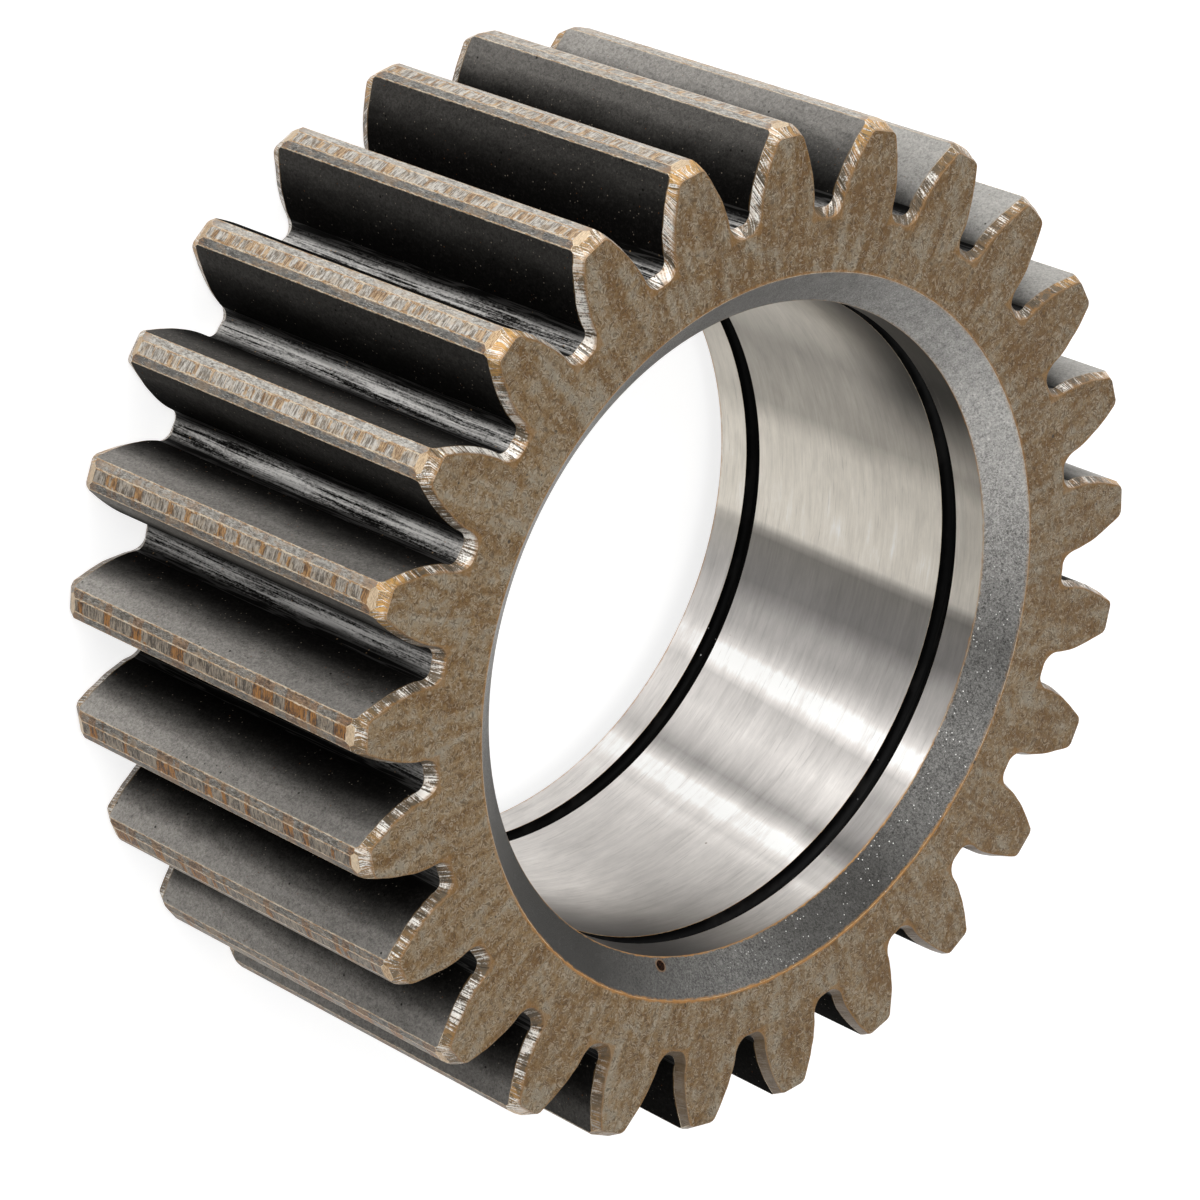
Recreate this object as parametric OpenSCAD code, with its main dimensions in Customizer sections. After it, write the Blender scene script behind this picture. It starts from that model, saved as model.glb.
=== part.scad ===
// Planet gear: a spur gear of one piece of steel with a wide plain bore.
// It lies on its back end face. The bore axis is Z, and the origin is on that axis,
// half way along the face width. All sizes are in millimetres.

/* [Teeth] */
// Number of teeth
teeth = 25; // [23:1:36]
// Module, the pitch diameter that each tooth takes up
module_size = 8; // [7.8:0.1:10]
// Pressure angle of the involute flanks in degrees
pressure_angle = 20; // [18:0.5:22]
// Tooth thickness along the pitch circle
tooth_t = 14.8; // [13.6:0.1:15.4]
// Height of the teeth above the pitch circle
addendum = 10; // [8:0.1:11]
// Depth of the roots below the pitch circle
dedendum = 8.4; // [7:0.1:9.5]
// Radius of the fillets where the flanks run into the root
root_fillet = 2.4; // [1:0.1:2.8]

/* [Tooth edges] */
// Width across the tooth of the long chamfer on each tip edge
tip_chamfer_w = 1.85; // [0.5:0.05:2.2]
// Drop in radius of that chamfer, from the top land to the flank
tip_chamfer_h = 0.6; // [0.2:0.05:1.2]
// Length along the axis of the chamfer round the tooth outline at each end
end_chamfer_z = 2.4; // [1:0.1:4]
// Depth of the end chamfer at the tips
end_chamfer_tip = 1.5; // [0.5:0.1:2]
// Depth of the end chamfer at the flanks
end_chamfer_flank = 0.9; // [0.4:0.05:1.2]
// Depth of the end chamfer at the roots
end_chamfer_root = 1.8; // [0.5:0.1:2.2]
// Length along the axis of the turned bevel on the tips, inside the end chamfer
turned_bevel_z = 1.8; // [0.5:0.1:4]
// Drop in radius of that bevel
turned_bevel_h = 0.55; // [0.1:0.05:0.6]

/* [Blank] */
// Face width, from one end face to the other
face_w = 95; // [80:1:140]
// Diameter of the bore
bore_d = 142; // [110:1:150]
// Width in radius of the large chamfer at each end of the bore
bore_chamfer_r = 7.5; // [3:0.5:8]
// Length along the axis of that chamfer
bore_chamfer_z = 6.5; // [3:0.5:8]

/* [Snap-ring grooves] */
// Width of each groove
groove_w = 4.3; // [2:0.1:6]
// Depth of each groove below the bore wall
groove_depth = 3; // [1:0.1:5]
// Length of bore between the two grooves, which the bearings take up
groove_gap = 57; // [30:1:57]

/* [Flaw] */
// Diameter of the small pit in the front bore chamfer
pit_d = 2.4; // [1:0.1:4]
// Depth of the pit
pit_depth = 1; // [0.3:0.1:2]
// Bearing of the pit round the axis in degrees
pit_bearing = 147.5; // [-180:0.5:180]
// Share of the chamfer's width from the bore edge to the pit
pit_place = 0.2; // [0.15:0.05:0.8]

/* [Hidden] */

// Facets of the round surfaces
round_fn = 180;
// Straight pieces in each root fillet and in each flank
fillet_n = 4;
flank_n = 6;
// Extra length with which a cutter passes the faces that it cuts
cut_past = 1;

// Circles of the tooth system
pitch_r = module_size * teeth / 2;
base_r = pitch_r * cos(pressure_angle);
tip_r = pitch_r + addendum;
root_r = pitch_r - dedendum;
half_step = 180 / teeth;
flank_end_r = tip_r - tip_chamfer_h;

// Radii along the bore
bore_r = bore_d / 2;
bore_mouth_r = bore_r + bore_chamfer_r;
groove_r = bore_r + groove_depth;

// The pit's floor; its wall leans so that it has its full diameter at its mouth
pit_floor_d = pit_d / 3;
pit_top_d = 2 * pit_d - pit_floor_d;

// Heights along the axis
end_z = face_w / 2;
bore_end_z = end_z - bore_chamfer_z;
groove_in_z = groove_gap / 2;
groove_out_z = groove_in_z + groove_w;
outline_z = end_z - end_chamfer_z;
bevel_z = outline_z - turned_bevel_z;

// Involute function, in degrees for an angle in degrees
function inv(a) = tan(a) * 180 / PI - a;

// Half angle of a tooth at radius r on its flank
function half_tooth(r) =
    tooth_t / pitch_r * 90 / PI + inv(pressure_angle) - inv(acos(min(1, base_r / r)));

// The fillet is a circle that touches the root circle and the radial line of the
// flank's foot, and it is no larger than the space between two teeth
foot_half_space = half_step - half_tooth(base_r);
fillet_r = min(root_fillet, root_r * sin(foot_half_space) / (1 - sin(foot_half_space)));
fillet_mid_r = root_r + fillet_r;
fillet_top_r = sqrt(pow(fillet_mid_r, 2) - pow(fillet_r, 2));
flank_start_r = max(base_r, fillet_top_r);
foot_angle = half_tooth(flank_start_r);
fillet_mid_angle = foot_angle + asin(fillet_r / fillet_mid_r);

function polar(r, a) = [r * cos(a), r * sin(a)];
function turned(p, a) = [p[0] * cos(a) - p[1] * sin(a), p[0] * sin(a) + p[1] * cos(a)];

// Half a tooth outline from the root to the ridge in which the two tip chamfers
// would meet, on the side of positive angles
flank_end_angle = half_tooth(flank_end_r);
ridge_r = flank_end_r + tip_chamfer_h / tip_chamfer_w * flank_end_r * sin(flank_end_angle);
function half_outline() = concat(
    [for (i = [0:fillet_n])
        let (a = 180 + fillet_mid_angle + i * (90 - asin(fillet_r / fillet_mid_r)) / fillet_n)
        polar(fillet_mid_r, fillet_mid_angle) + fillet_r * [cos(a), sin(a)]],
    [for (i = [1:flank_n])
        let (r = flank_start_r + i * (flank_end_r - flank_start_r) / flank_n)
        polar(r, half_tooth(r))]
);

// Whole outline, tooth after tooth in the sense of growing angle
function outline() =
    let (half = half_outline(), n = len(half))
    [for (k = [0:teeth - 1])
        for (i = [0:2 * n])
            let (p = i < n ? [half[i][0], -half[i][1]] : i == n ? [ridge_r, 0] : half[2 * n - i])
            turned(p, k * 2 * half_step)];

// Outward direction at point i of a closed outline
function outward(points, i) =
    let (n = len(points))
    let (along = points[(i + 1) % n] - points[(i + n - 1) % n])
    [along[1], -along[0]] / norm(along);

// The outline after the end chamfer, or as many times as deep as share says: each
// point moves inwards across the flank, and down as well the nearer it is to the root
function inset(points, share) =
    [for (i = [0:len(points) - 1])
        let (p = points[i], out = outward(points, i), radial = p / norm(p))
        let (across = [-radial[1], radial[0]])
        let (near_root = max(0, (flank_end_r - norm(p)) / (flank_end_r - root_r)))
        let (down = out * radial * near_root * end_chamfer_root)
        let (side = out * across * end_chamfer_flank)
        p - share * (radial * down + across * side)];

function level(points, z) = [for (p = points) [p[0], p[1], z]];

// The teeth before turning, as rings of points from the back to the front. They
// pass the end faces and the tip circle, which the turned blank then cuts.
module cut_teeth() {
    full = outline();
    end = inset(full, 1 + cut_past / end_chamfer_z);
    rings = [
        level(end, -end_z - cut_past), level(full, -outline_z),
        level(full, outline_z), level(end, end_z + cut_past)
    ];
    n = len(full);
    last = len(rings) - 1;
    middle = (last + 1) * n;
    walls = [for (k = [0:last - 1]) for (i = [0:n - 1])
        let (j = (i + 1) % n)
        each [[k * n + i, (k + 1) * n + i, (k + 1) * n + j], [k * n + i, (k + 1) * n + j, k * n + j]]];
    back = [for (i = [0:n - 1]) [middle, i, (i + 1) % n]];
    front = [for (i = [0:n - 1]) [middle + 1, last * n + (i + 1) % n, last * n + i]];
    polyhedron(
        points = concat([for (ring = rings) each ring],
            [[0, 0, -end_z - cut_past], [0, 0, end_z + cut_past]]),
        faces = concat(walls, back, front));
}

// Half of the blank's section, from the middle of the bore to the middle of the
// outside: groove, bore edge, bore chamfer, end face, end chamfer and tip bevel
half_section = [
    [bore_r, groove_in_z], [groove_r, groove_in_z], [groove_r, groove_out_z], [bore_r, groove_out_z],
    [bore_r, bore_end_z], [bore_mouth_r, end_z],
    [tip_r - turned_bevel_h - end_chamfer_tip, end_z], [tip_r - turned_bevel_h, outline_z],
    [tip_r, bevel_z]
];

// The turned blank, a thick ring
module blank() {
    n = len(half_section);
    rotate_extrude($fn = round_fn)
        polygon(concat(half_section,
            [for (i = [0:n - 1]) [half_section[n - 1 - i][0], -half_section[n - 1 - i][1]]]));
}

// Small pit in the front bore chamfer, square to its surface and narrower at its floor
module pit() {
    rotate([0, 0, pit_bearing])
        translate([bore_r + pit_place * bore_chamfer_r, 0, bore_end_z + pit_place * bore_chamfer_z])
            rotate([0, -atan(bore_chamfer_z / bore_chamfer_r), 0])
                translate([0, 0, -pit_depth])
                    cylinder(d1 = pit_floor_d, d2 = pit_top_d, h = 2 * pit_depth, $fn = 32);
}

module planet_gear() {
    color("dimgray")
        difference() {
            intersection() {
                cut_teeth();
                blank();
            }
            pit();
        }
}

planet_gear();
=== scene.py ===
"""Planet gear: one piece of steel, with a ground bore, blasted chamfers and stained, worn teeth."""

import math

import bmesh
import bpy
from mathutils import Matrix, Vector, noise


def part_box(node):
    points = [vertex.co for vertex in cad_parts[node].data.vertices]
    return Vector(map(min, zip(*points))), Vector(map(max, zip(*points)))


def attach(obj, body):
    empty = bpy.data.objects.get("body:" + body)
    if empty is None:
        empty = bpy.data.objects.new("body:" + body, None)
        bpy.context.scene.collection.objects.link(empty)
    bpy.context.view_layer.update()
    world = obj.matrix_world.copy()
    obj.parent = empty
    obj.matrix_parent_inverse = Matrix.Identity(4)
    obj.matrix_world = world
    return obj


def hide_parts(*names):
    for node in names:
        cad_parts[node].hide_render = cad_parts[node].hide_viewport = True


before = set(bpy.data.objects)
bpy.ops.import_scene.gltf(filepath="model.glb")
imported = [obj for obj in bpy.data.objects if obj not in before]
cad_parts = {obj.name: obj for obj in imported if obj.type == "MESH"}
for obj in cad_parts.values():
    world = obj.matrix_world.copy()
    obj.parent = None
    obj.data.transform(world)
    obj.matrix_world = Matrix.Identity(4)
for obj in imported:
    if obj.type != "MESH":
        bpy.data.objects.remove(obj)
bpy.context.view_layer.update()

# Sizes in millimetres, as in the part's own source; the outer ones come from the frame
MM = 0.001
LOW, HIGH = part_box("planet_gear")
TEETH = 25
PITCH_R = 100
PRESSURE_ANGLE = math.radians(20)
TOOTH_T = 14.8
TIP_R = HIGH.x / MM
ROOT_R = 91.6
ROOT_FILLET = 2.4
TIP_CHAMFER_W = 1.85
TIP_CHAMFER_H = 0.6
END_Z = HIGH.z / MM
END_CHAMFER_Z = 2.4
END_CHAMFER_TIP = 1.5
END_CHAMFER_FLANK = 0.9
END_CHAMFER_ROOT = 1.8
TURNED_BEVEL_Z = 1.8
TURNED_BEVEL_H = 0.55
BORE_R = 71
BORE_MOUTH_R = 78.5
BORE_END_Z = END_Z - 6.5
GROOVE_R = 74
GROOVE_IN_Z = 28.5
GROOVE_OUT_Z = 32.8
PIT_D = 2.4
PIT_DEPTH = 1.0
PIT_BEARING = math.radians(147.5)
PIT_PLACE = 0.2

# Radii, heights and the half angle between two teeth, which follow from these sizes
BASE_R = PITCH_R * math.cos(PRESSURE_ANGLE)
FLANK_END_R = TIP_R - TIP_CHAMFER_H
BEVEL_R = TIP_R - TURNED_BEVEL_H
TIP_FACE_R = BEVEL_R - END_CHAMFER_TIP
OUTLINE_Z = END_Z - END_CHAMFER_Z
BEVEL_Z = OUTLINE_Z - TURNED_BEVEL_Z
PIT_R = BORE_R + PIT_PLACE * (BORE_MOUTH_R - BORE_R)
PIT_Z = BORE_END_Z + PIT_PLACE * (END_Z - BORE_END_Z)
HALF_STEP = math.pi / TEETH

# Corners of the tips on the end faces: their radius, the directions of the facets that round
# them, and how much the facets lean towards the end face
CORNER_R = 1.9
CORNER_TURNS = (math.radians(20), math.radians(42))
CORNER_SLOPE = 0.5

# Rounding of the edges: its width, and the angle from which an edge is sharp
EDGE_ROUND = 0.16
SHARP_ANGLE = math.radians(14)

# Unevenness of the end chamfers and of the pit: the grain of its noise, and its reach
WANDER_GRAIN = 0.35
WANDER_Z = 0.3
WANDER_XY = 0.16
PIT_GRAIN = 0.9
PIT_REACH = 0.12

# How many pieces each curve is cut into
ROOT_N, FILLET_N, FLANK_N, LAND_N = 3, 10, 16, 2
BORE_N, PIT_N, FLOOR_N = 8, 32, 96

# Points closer than this are one; the decimals by which places are matched and put in order
MERGE = 1e-4
MATCH_DIGITS = 4
ORDER_DIGITS = 3

# Faces of one finish share a material
FINISHES = [
    "end_face", "end_chamfer", "tip_bevel", "tip_land", "tip_chamfer", "flank", "root",
    "bore", "bore_chamfer", "groove", "stained_edge", "bore_edge", "pit",
]
FINISH = {name: index for index, name in enumerate(FINISHES)}


def involute(angle):
    """The involute function of a pressure angle."""
    return math.tan(angle) - angle


def half_tooth(radius):
    """Half angle of a tooth at a radius on its flank."""
    pressure = math.acos(min(1, BASE_R / radius))
    return TOOTH_T / PITCH_R / 2 + involute(PRESSURE_ANGLE) - involute(pressure)


def polar(radius, angle, z=0.0):
    """A point at a radius and an angle round the axis."""
    return Vector((radius * math.cos(angle), radius * math.sin(angle), z))


def half_outline():
    """Points from the middle of the tip to the middle of the root, with the finish after each."""
    land_end = half_tooth(FLANK_END_R) - TIP_CHAMFER_W / FLANK_END_R
    fillet_mid_r = ROOT_R + ROOT_FILLET
    foot_r = max(BASE_R, math.sqrt(fillet_mid_r ** 2 - ROOT_FILLET ** 2))
    turn = math.asin(ROOT_FILLET / fillet_mid_r)
    fillet_mid = half_tooth(foot_r) + turn
    points = [(polar(TIP_R, land_end * i / LAND_N), "tip_land") for i in range(LAND_N)]
    points.append((polar(TIP_R, land_end), "tip_chamfer"))
    for i in range(FLANK_N + 1):
        radius = FLANK_END_R + (foot_r - FLANK_END_R) * i / FLANK_N
        points.append((polar(radius, half_tooth(radius)), "flank" if i < FLANK_N else "root"))
    centre = polar(fillet_mid_r, fillet_mid)
    for i in range(1, FILLET_N + 1):
        angle = math.pi + fillet_mid + (math.pi / 2 - turn) * (1 - i / FILLET_N)
        points.append((centre + polar(ROOT_FILLET, angle), "root"))
    for i in range(1, ROOT_N + 1):
        points.append((polar(ROOT_R, fillet_mid + (HALF_STEP - fillet_mid) * i / ROOT_N), "root"))
    return points


def chamfered(points, index):
    """Where an outline point ends up on the end face, after the chamfer round the teeth."""
    point = points[index]
    before, after = points[max(index - 1, 0)], points[min(index + 1, len(points) - 1)]
    along = (after - before).normalized()
    out = Vector((along.y, -along.x, 0))
    radial = point.normalized()
    across = Vector((-radial.y, radial.x, 0))
    if out.dot(across) < -MERGE:
        out.negate()
    near_root = max(0, (FLANK_END_R - point.length) / (FLANK_END_R - ROOT_R))
    down = abs(out.dot(radial)) * near_root * END_CHAMFER_ROOT
    side = out.dot(across) * END_CHAMFER_FLANK
    return point - radial * down - across * side


def chain(bm, points):
    """An open line of edges through the points."""
    verts = [bm.verts.new(point) for point in points]
    return verts, [bm.edges.new(pair) for pair in zip(verts, verts[1:])]


def rounded(place, digits):
    """A place's numbers, rounded so that the same place always gives the same ones."""
    return tuple(round(number, digits) for number in place)


def settle(bm):
    """Puts points and faces in a fixed order, so that the next operator works the same each run."""
    along = bm.verts.layers.float["along"]
    order = sorted(bm.verts, key=lambda vert: rounded(vert.co, ORDER_DIGITS))
    place = {vert: i for i, vert in enumerate(order)}
    spots = [(vert.co.copy(), vert[along]) for vert in order]
    rings = []
    for face in bm.faces:
        ring = [place[vert] for vert in face.verts]
        first = ring.index(min(ring))
        ring = ring[first:] + ring[:first]
        if ring[1] > ring[-1]:
            ring = ring[:1] + ring[:0:-1]
        rings.append((ring, face.material_index))
    bm.clear()
    along = bm.verts.layers.float.get("along") or bm.verts.layers.float.new("along")
    points = [bm.verts.new(spot) for spot, _ in spots]
    for point, (_, distance) in zip(points, spots):
        point[along] = distance
    for ring, finish in sorted(rings):
        bm.faces.new([points[i] for i in ring]).material_index = finish
    bmesh.ops.recalc_face_normals(bm, faces=bm.faces[:])


def raise_edges(bm, edges, z):
    """Extrudes edges upwards and returns the new faces and the new edges."""
    made = bmesh.ops.extrude_edge_only(bm, edges=edges)["geom"]
    verts = [g for g in made if isinstance(g, bmesh.types.BMVert)]
    for vert in verts:
        vert.co.z = z
    edges = [g for g in made
             if isinstance(g, bmesh.types.BMEdge) and all(v in verts for v in g.verts)]
    return [g for g in made if isinstance(g, bmesh.types.BMFace)], edges


def cut_tip(bm, place, outward, finish):
    """Cuts the tooth off outside a plane and closes the cut with one face."""
    settle(bm)
    geom = bm.verts[:] + bm.edges[:] + bm.faces[:]
    cut = bmesh.ops.bisect_plane(
        bm, geom=geom, dist=MERGE, plane_co=place, plane_no=outward, clear_outer=True)["geom_cut"]
    edges = [g for g in cut if isinstance(g, bmesh.types.BMEdge)]
    for face in bmesh.ops.edgeloop_fill(bm, edges=edges)["faces"]:
        face.material_index = FINISH[finish]


def tooth_sector(bm):
    """One tooth with the ring below it, from the middle of the face width to the front."""
    along = bm.verts.layers.float.new("along")
    outline = half_outline()
    points = [point for point, _ in outline]
    verts, edges = chain(bm, points)
    distance = 0.0
    for i, vert in enumerate(verts):
        distance += (points[i] - points[max(i - 1, 0)]).length
        vert[along] = distance
    ends = [chamfered(points, i) for i in range(len(points))]
    ends[0].y = 0
    root_ray = polar(1, HALF_STEP)
    ends[-1] = root_ray * ends[-1].dot(root_ray)
    walls, top = raise_edges(bm, edges, OUTLINE_Z)
    chamfers, end = raise_edges(bm, top, END_Z)
    place = {rounded(point.xy, MATCH_DIGITS): i for i, point in enumerate(points)}
    for face in walls:
        first = min(place[rounded(v.co.xy, MATCH_DIGITS)] for v in face.verts)
        face.material_index = FINISH[outline[first][1]]
    for face in chamfers:
        face.material_index = FINISH["end_chamfer"]
    for vert in {v for e in end for v in e.verts}:
        i = place[rounded(vert.co.xy, MATCH_DIGITS)]
        vert.co = Vector((ends[i].x, ends[i].y, END_Z))
    settle(bm)
    mirror_half(bm)
    settle(bm)
    bore_sector(bm)
    settle(bm)
    close_end_face(bm)
    cut_tip(bm, (BEVEL_R, 0, OUTLINE_Z), (END_CHAMFER_Z, 0, BEVEL_R - TIP_FACE_R), "end_chamfer")
    cut_tip(bm, (TIP_R, 0, BEVEL_Z), (TURNED_BEVEL_Z, 0, TURNED_BEVEL_H), "tip_bevel")
    cut_corners(bm)


def cut_corners(bm):
    """Rounds the corners of the tip towards the end face with two facets on each side."""
    flank_turn = math.pi / 2 - math.acos(BASE_R / TIP_FACE_R)
    half_width = half_tooth(TIP_FACE_R) * TIP_FACE_R - END_CHAMFER_FLANK
    inwards = CORNER_R * (1 - math.cos(flank_turn)) / math.sin(flank_turn)
    centre = Vector((TIP_FACE_R - CORNER_R, half_width - inwards, END_Z))
    for side in (1, -1):
        for turn in CORNER_TURNS:
            outward = polar(1, turn)
            place = centre + outward * CORNER_R
            cut_tip(
                bm, (place.x, side * place.y, place.z), (outward.x, side * outward.y, CORNER_SLOPE),
                "end_chamfer")


def mirror_half(bm):
    """Adds the other half of the tooth, on which the distance along the outline is negative."""
    along = bm.verts.layers.float["along"]
    first = set(bm.verts)
    geom = bm.verts[:] + bm.edges[:] + bm.faces[:]
    bmesh.ops.mirror(bm, geom=geom, axis="Y", merge_dist=MERGE)
    for vert in bm.verts:
        if vert not in first:
            vert[along] = -vert[along]


def bore_sector(bm):
    """Bore chamfer, bore and groove over the sector's angle, spun from their section."""
    section = [
        (BORE_MOUTH_R, END_Z), (BORE_R, BORE_END_Z), (BORE_R, GROOVE_OUT_Z),
        (GROOVE_R, GROOVE_OUT_Z), (GROOVE_R, GROOVE_IN_Z), (BORE_R, GROOVE_IN_Z), (BORE_R, 0),
    ]
    finishes = ["bore_chamfer", "bore", "groove", "groove", "groove", "bore"]
    before = set(bm.faces)
    verts, edges = chain(bm, [polar(r, -HALF_STEP, z) for r, z in section])
    bmesh.ops.spin(
        bm, geom=verts + edges, cent=(0, 0, 0), axis=(0, 0, 1), angle=2 * HALF_STEP, steps=BORE_N,
        use_merge=False, use_duplicate=False)
    heights = [sum(z for _, z in pair) / 2 for pair in zip(section, section[1:])]
    radii = [sum(r for r, _ in pair) / 2 for pair in zip(section, section[1:])]
    for face in set(bm.faces) - before:
        middle = face.calc_center_median()
        gaps = [abs(middle.z - z) + abs(middle.xy.length - r) for z, r in zip(heights, radii)]
        face.material_index = FINISH[finishes[gaps.index(min(gaps))]]


def close_end_face(bm):
    """Joins the tooth outline and the bore mouth with one flat face."""
    level = [v for v in bm.verts if abs(v.co.z - END_Z) < MERGE]
    for side in (-HALF_STEP, HALF_STEP):
        ray = polar(1, side)
        ends = [v for v in level if (v.co.xy.normalized() - ray.xy).length < MERGE]
        bm.edges.new(ends)
    rim = [e for e in bm.edges if all(v in level for v in e.verts)]
    for face in bmesh.ops.contextual_create(bm, geom=rim)["faces"]:
        face.material_index = FINISH["end_face"]


def repeat_sector(bm):
    """Mirrors the front half to the back and repeats the sector round the axis."""
    bmesh.ops.mirror(bm, geom=bm.verts[:] + bm.edges[:] + bm.faces[:], axis="Z", merge_dist=MERGE)
    settle(bm)
    bmesh.ops.spin(
        bm, geom=bm.verts[:] + bm.edges[:] + bm.faces[:], cent=(0, 0, 0), axis=(0, 0, 1),
        angle=2 * math.pi * (TEETH - 1) / TEETH, steps=TEETH - 1, use_merge=False,
        use_duplicate=True)
    bmesh.ops.remove_doubles(bm, verts=bm.verts[:], dist=10 * MERGE)


def uneven_edges(bm):
    """Lets the hand-dressed end chamfers wander a little in width along the teeth."""
    inside_r = ROOT_R - END_CHAMFER_ROOT - 1
    for vert in bm.verts:
        if vert.co.xy.length < inside_r or abs(vert.co.z) < OUTLINE_Z - MERGE:
            continue
        spot = vert.co * WANDER_GRAIN
        if abs(abs(vert.co.z) - OUTLINE_Z) < MERGE:
            vert.co.z += WANDER_Z * noise.noise(spot) * (1 if vert.co.z > 0 else -1)
        elif abs(abs(vert.co.z) - END_Z) < MERGE:
            vert.co.x += WANDER_XY * noise.noise(spot + Vector((40, 0, 0)))
            vert.co.y += WANDER_XY * noise.noise(spot + Vector((0, 40, 0)))


def round_edges(bm):
    """Rounds the sharp edges, all but those on the grooves' floors, and stains the new faces."""
    sharp = []
    for edge in bm.edges:
        if len(edge.link_faces) == 2 and edge.calc_face_angle() > SHARP_ANGLE:
            middle = (edge.verts[0].co + edge.verts[1].co) / 2
            if abs(middle.xy.length - GROOVE_R) > 0.1:
                sharp.append(edge)
    made = bmesh.ops.bevel(
        bm, geom=sharp, offset=EDGE_ROUND, offset_type="OFFSET", segments=2, profile=0.5,
        affect="EDGES", clamp_overlap=True, material=-1, loop_slide=True)
    for face in made["faces"]:
        near_bore = face.calc_center_median().xy.length < BORE_MOUTH_R + 1
        face.material_index = FINISH["bore_edge" if near_bore else "stained_edge"]


def pit_cutter(materials):
    """An uneven cone that is square to the bore chamfer, for the casting pit in it."""
    floor_d = PIT_D / 3
    slope = math.atan2(BORE_MOUTH_R - BORE_R, END_Z - BORE_END_Z)
    bm = bmesh.new()
    bmesh.ops.create_cone(
        bm, cap_ends=True, cap_tris=False, segments=PIT_N, radius1=floor_d / 2,
        radius2=(2 * PIT_D - floor_d) / 2, depth=2 * PIT_DEPTH)
    for vert in bm.verts:
        spots = [vert.co * PIT_GRAIN + Vector((0, 0, shift)) for shift in (0, 40, 80)]
        vert.co += PIT_REACH * Vector([noise.noise(spot) for spot in spots])
    lean = Matrix.Rotation(slope - math.pi / 2, 4, "Y")
    bmesh.ops.transform(bm, matrix=lean, verts=bm.verts[:])
    bmesh.ops.translate(bm, vec=(PIT_R, 0, PIT_Z), verts=bm.verts[:])
    bmesh.ops.rotate(bm, matrix=Matrix.Rotation(PIT_BEARING, 3, "Z"), verts=bm.verts[:])
    bmesh.ops.scale(bm, vec=(MM, MM, MM), verts=bm.verts[:])
    mesh = bpy.data.meshes.new("pit_cutter")
    bm.to_mesh(mesh)
    bm.free()
    mesh.materials.append(materials["pit"])
    return bpy.data.objects.new("pit_cutter", mesh)


def cut_pit(piece, materials):
    """Cuts the pit out of the bore chamfer and leaves the result in the piece's own mesh."""
    cutter = pit_cutter(materials)
    bpy.context.scene.collection.objects.link(cutter)
    cut = piece.modifiers.new("pit", "BOOLEAN")
    cut.operation, cut.solver, cut.object = "DIFFERENCE", "EXACT", cutter
    cut.material_mode = "TRANSFER"
    whole = piece.data
    evaluated = piece.evaluated_get(bpy.context.evaluated_depsgraph_get())
    piece.data = bpy.data.meshes.new_from_object(evaluated)
    piece.data.name = "toothed_ring"
    piece.modifiers.clear()
    bpy.data.meshes.remove(whole)
    bpy.data.meshes.remove(cutter.data)


def gear_piece(materials):
    """The whole gear: a sector of one tooth, repeated, with its edges worn and the pit cut in."""
    bm = bmesh.new()
    tooth_sector(bm)
    settle(bm)
    repeat_sector(bm)
    settle(bm)
    uneven_edges(bm)
    round_edges(bm)
    settle(bm)
    bmesh.ops.scale(bm, vec=(MM, MM, MM), verts=bm.verts[:])
    mesh = bpy.data.meshes.new("toothed_ring")
    bm.to_mesh(mesh)
    bm.free()
    for name in FINISHES:
        mesh.materials.append(materials[name])
    mesh.shade_smooth()
    piece = bpy.data.objects.new("toothed_ring", mesh)
    bpy.context.scene.collection.objects.link(piece)
    cut_pit(piece, materials)
    weights = piece.modifiers.new("flat_faces", "WEIGHTED_NORMAL")
    weights.keep_sharp = True
    weights.weight = 50
    return piece


class Shade:
    """A shader socket that takes part in Python arithmetic; each operation adds its Math node."""

    def __init__(self, finish, socket):
        self.finish, self.socket = finish, socket

    def math(self, operation, *others):
        """A Math node on this shade and the others."""
        values = dict(enumerate((self, *others)))
        return self.finish.node("ShaderNodeMath", {"operation": operation}, values)

    def __add__(self, other):
        return self.math("ADD", other)

    def __sub__(self, other):
        return self.math("SUBTRACT", other)

    def __rsub__(self, other):
        return self.math("MULTIPLY", -1) + other

    def __mul__(self, other):
        return self.math("MULTIPLY", other)

    def __truediv__(self, other):
        return self.math("DIVIDE", other)

    def __pow__(self, other):
        return self.math("POWER", other)

    def __abs__(self):
        return self.math("ABSOLUTE")

    __radd__ = __add__
    __rmul__ = __mul__

    def step(self, low, high, start=0.0, end=1.0):
        """A soft step from start to end as the value goes from low to high."""
        if low > high:
            low, high, start, end = high, low, end, start
        sockets = {"Value": self, "From Min": low, "From Max": high, "To Min": start, "To Max": end}
        return self.finish.node("ShaderNodeMapRange", {"interpolation_type": "SMOOTHSTEP"}, sockets)


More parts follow.
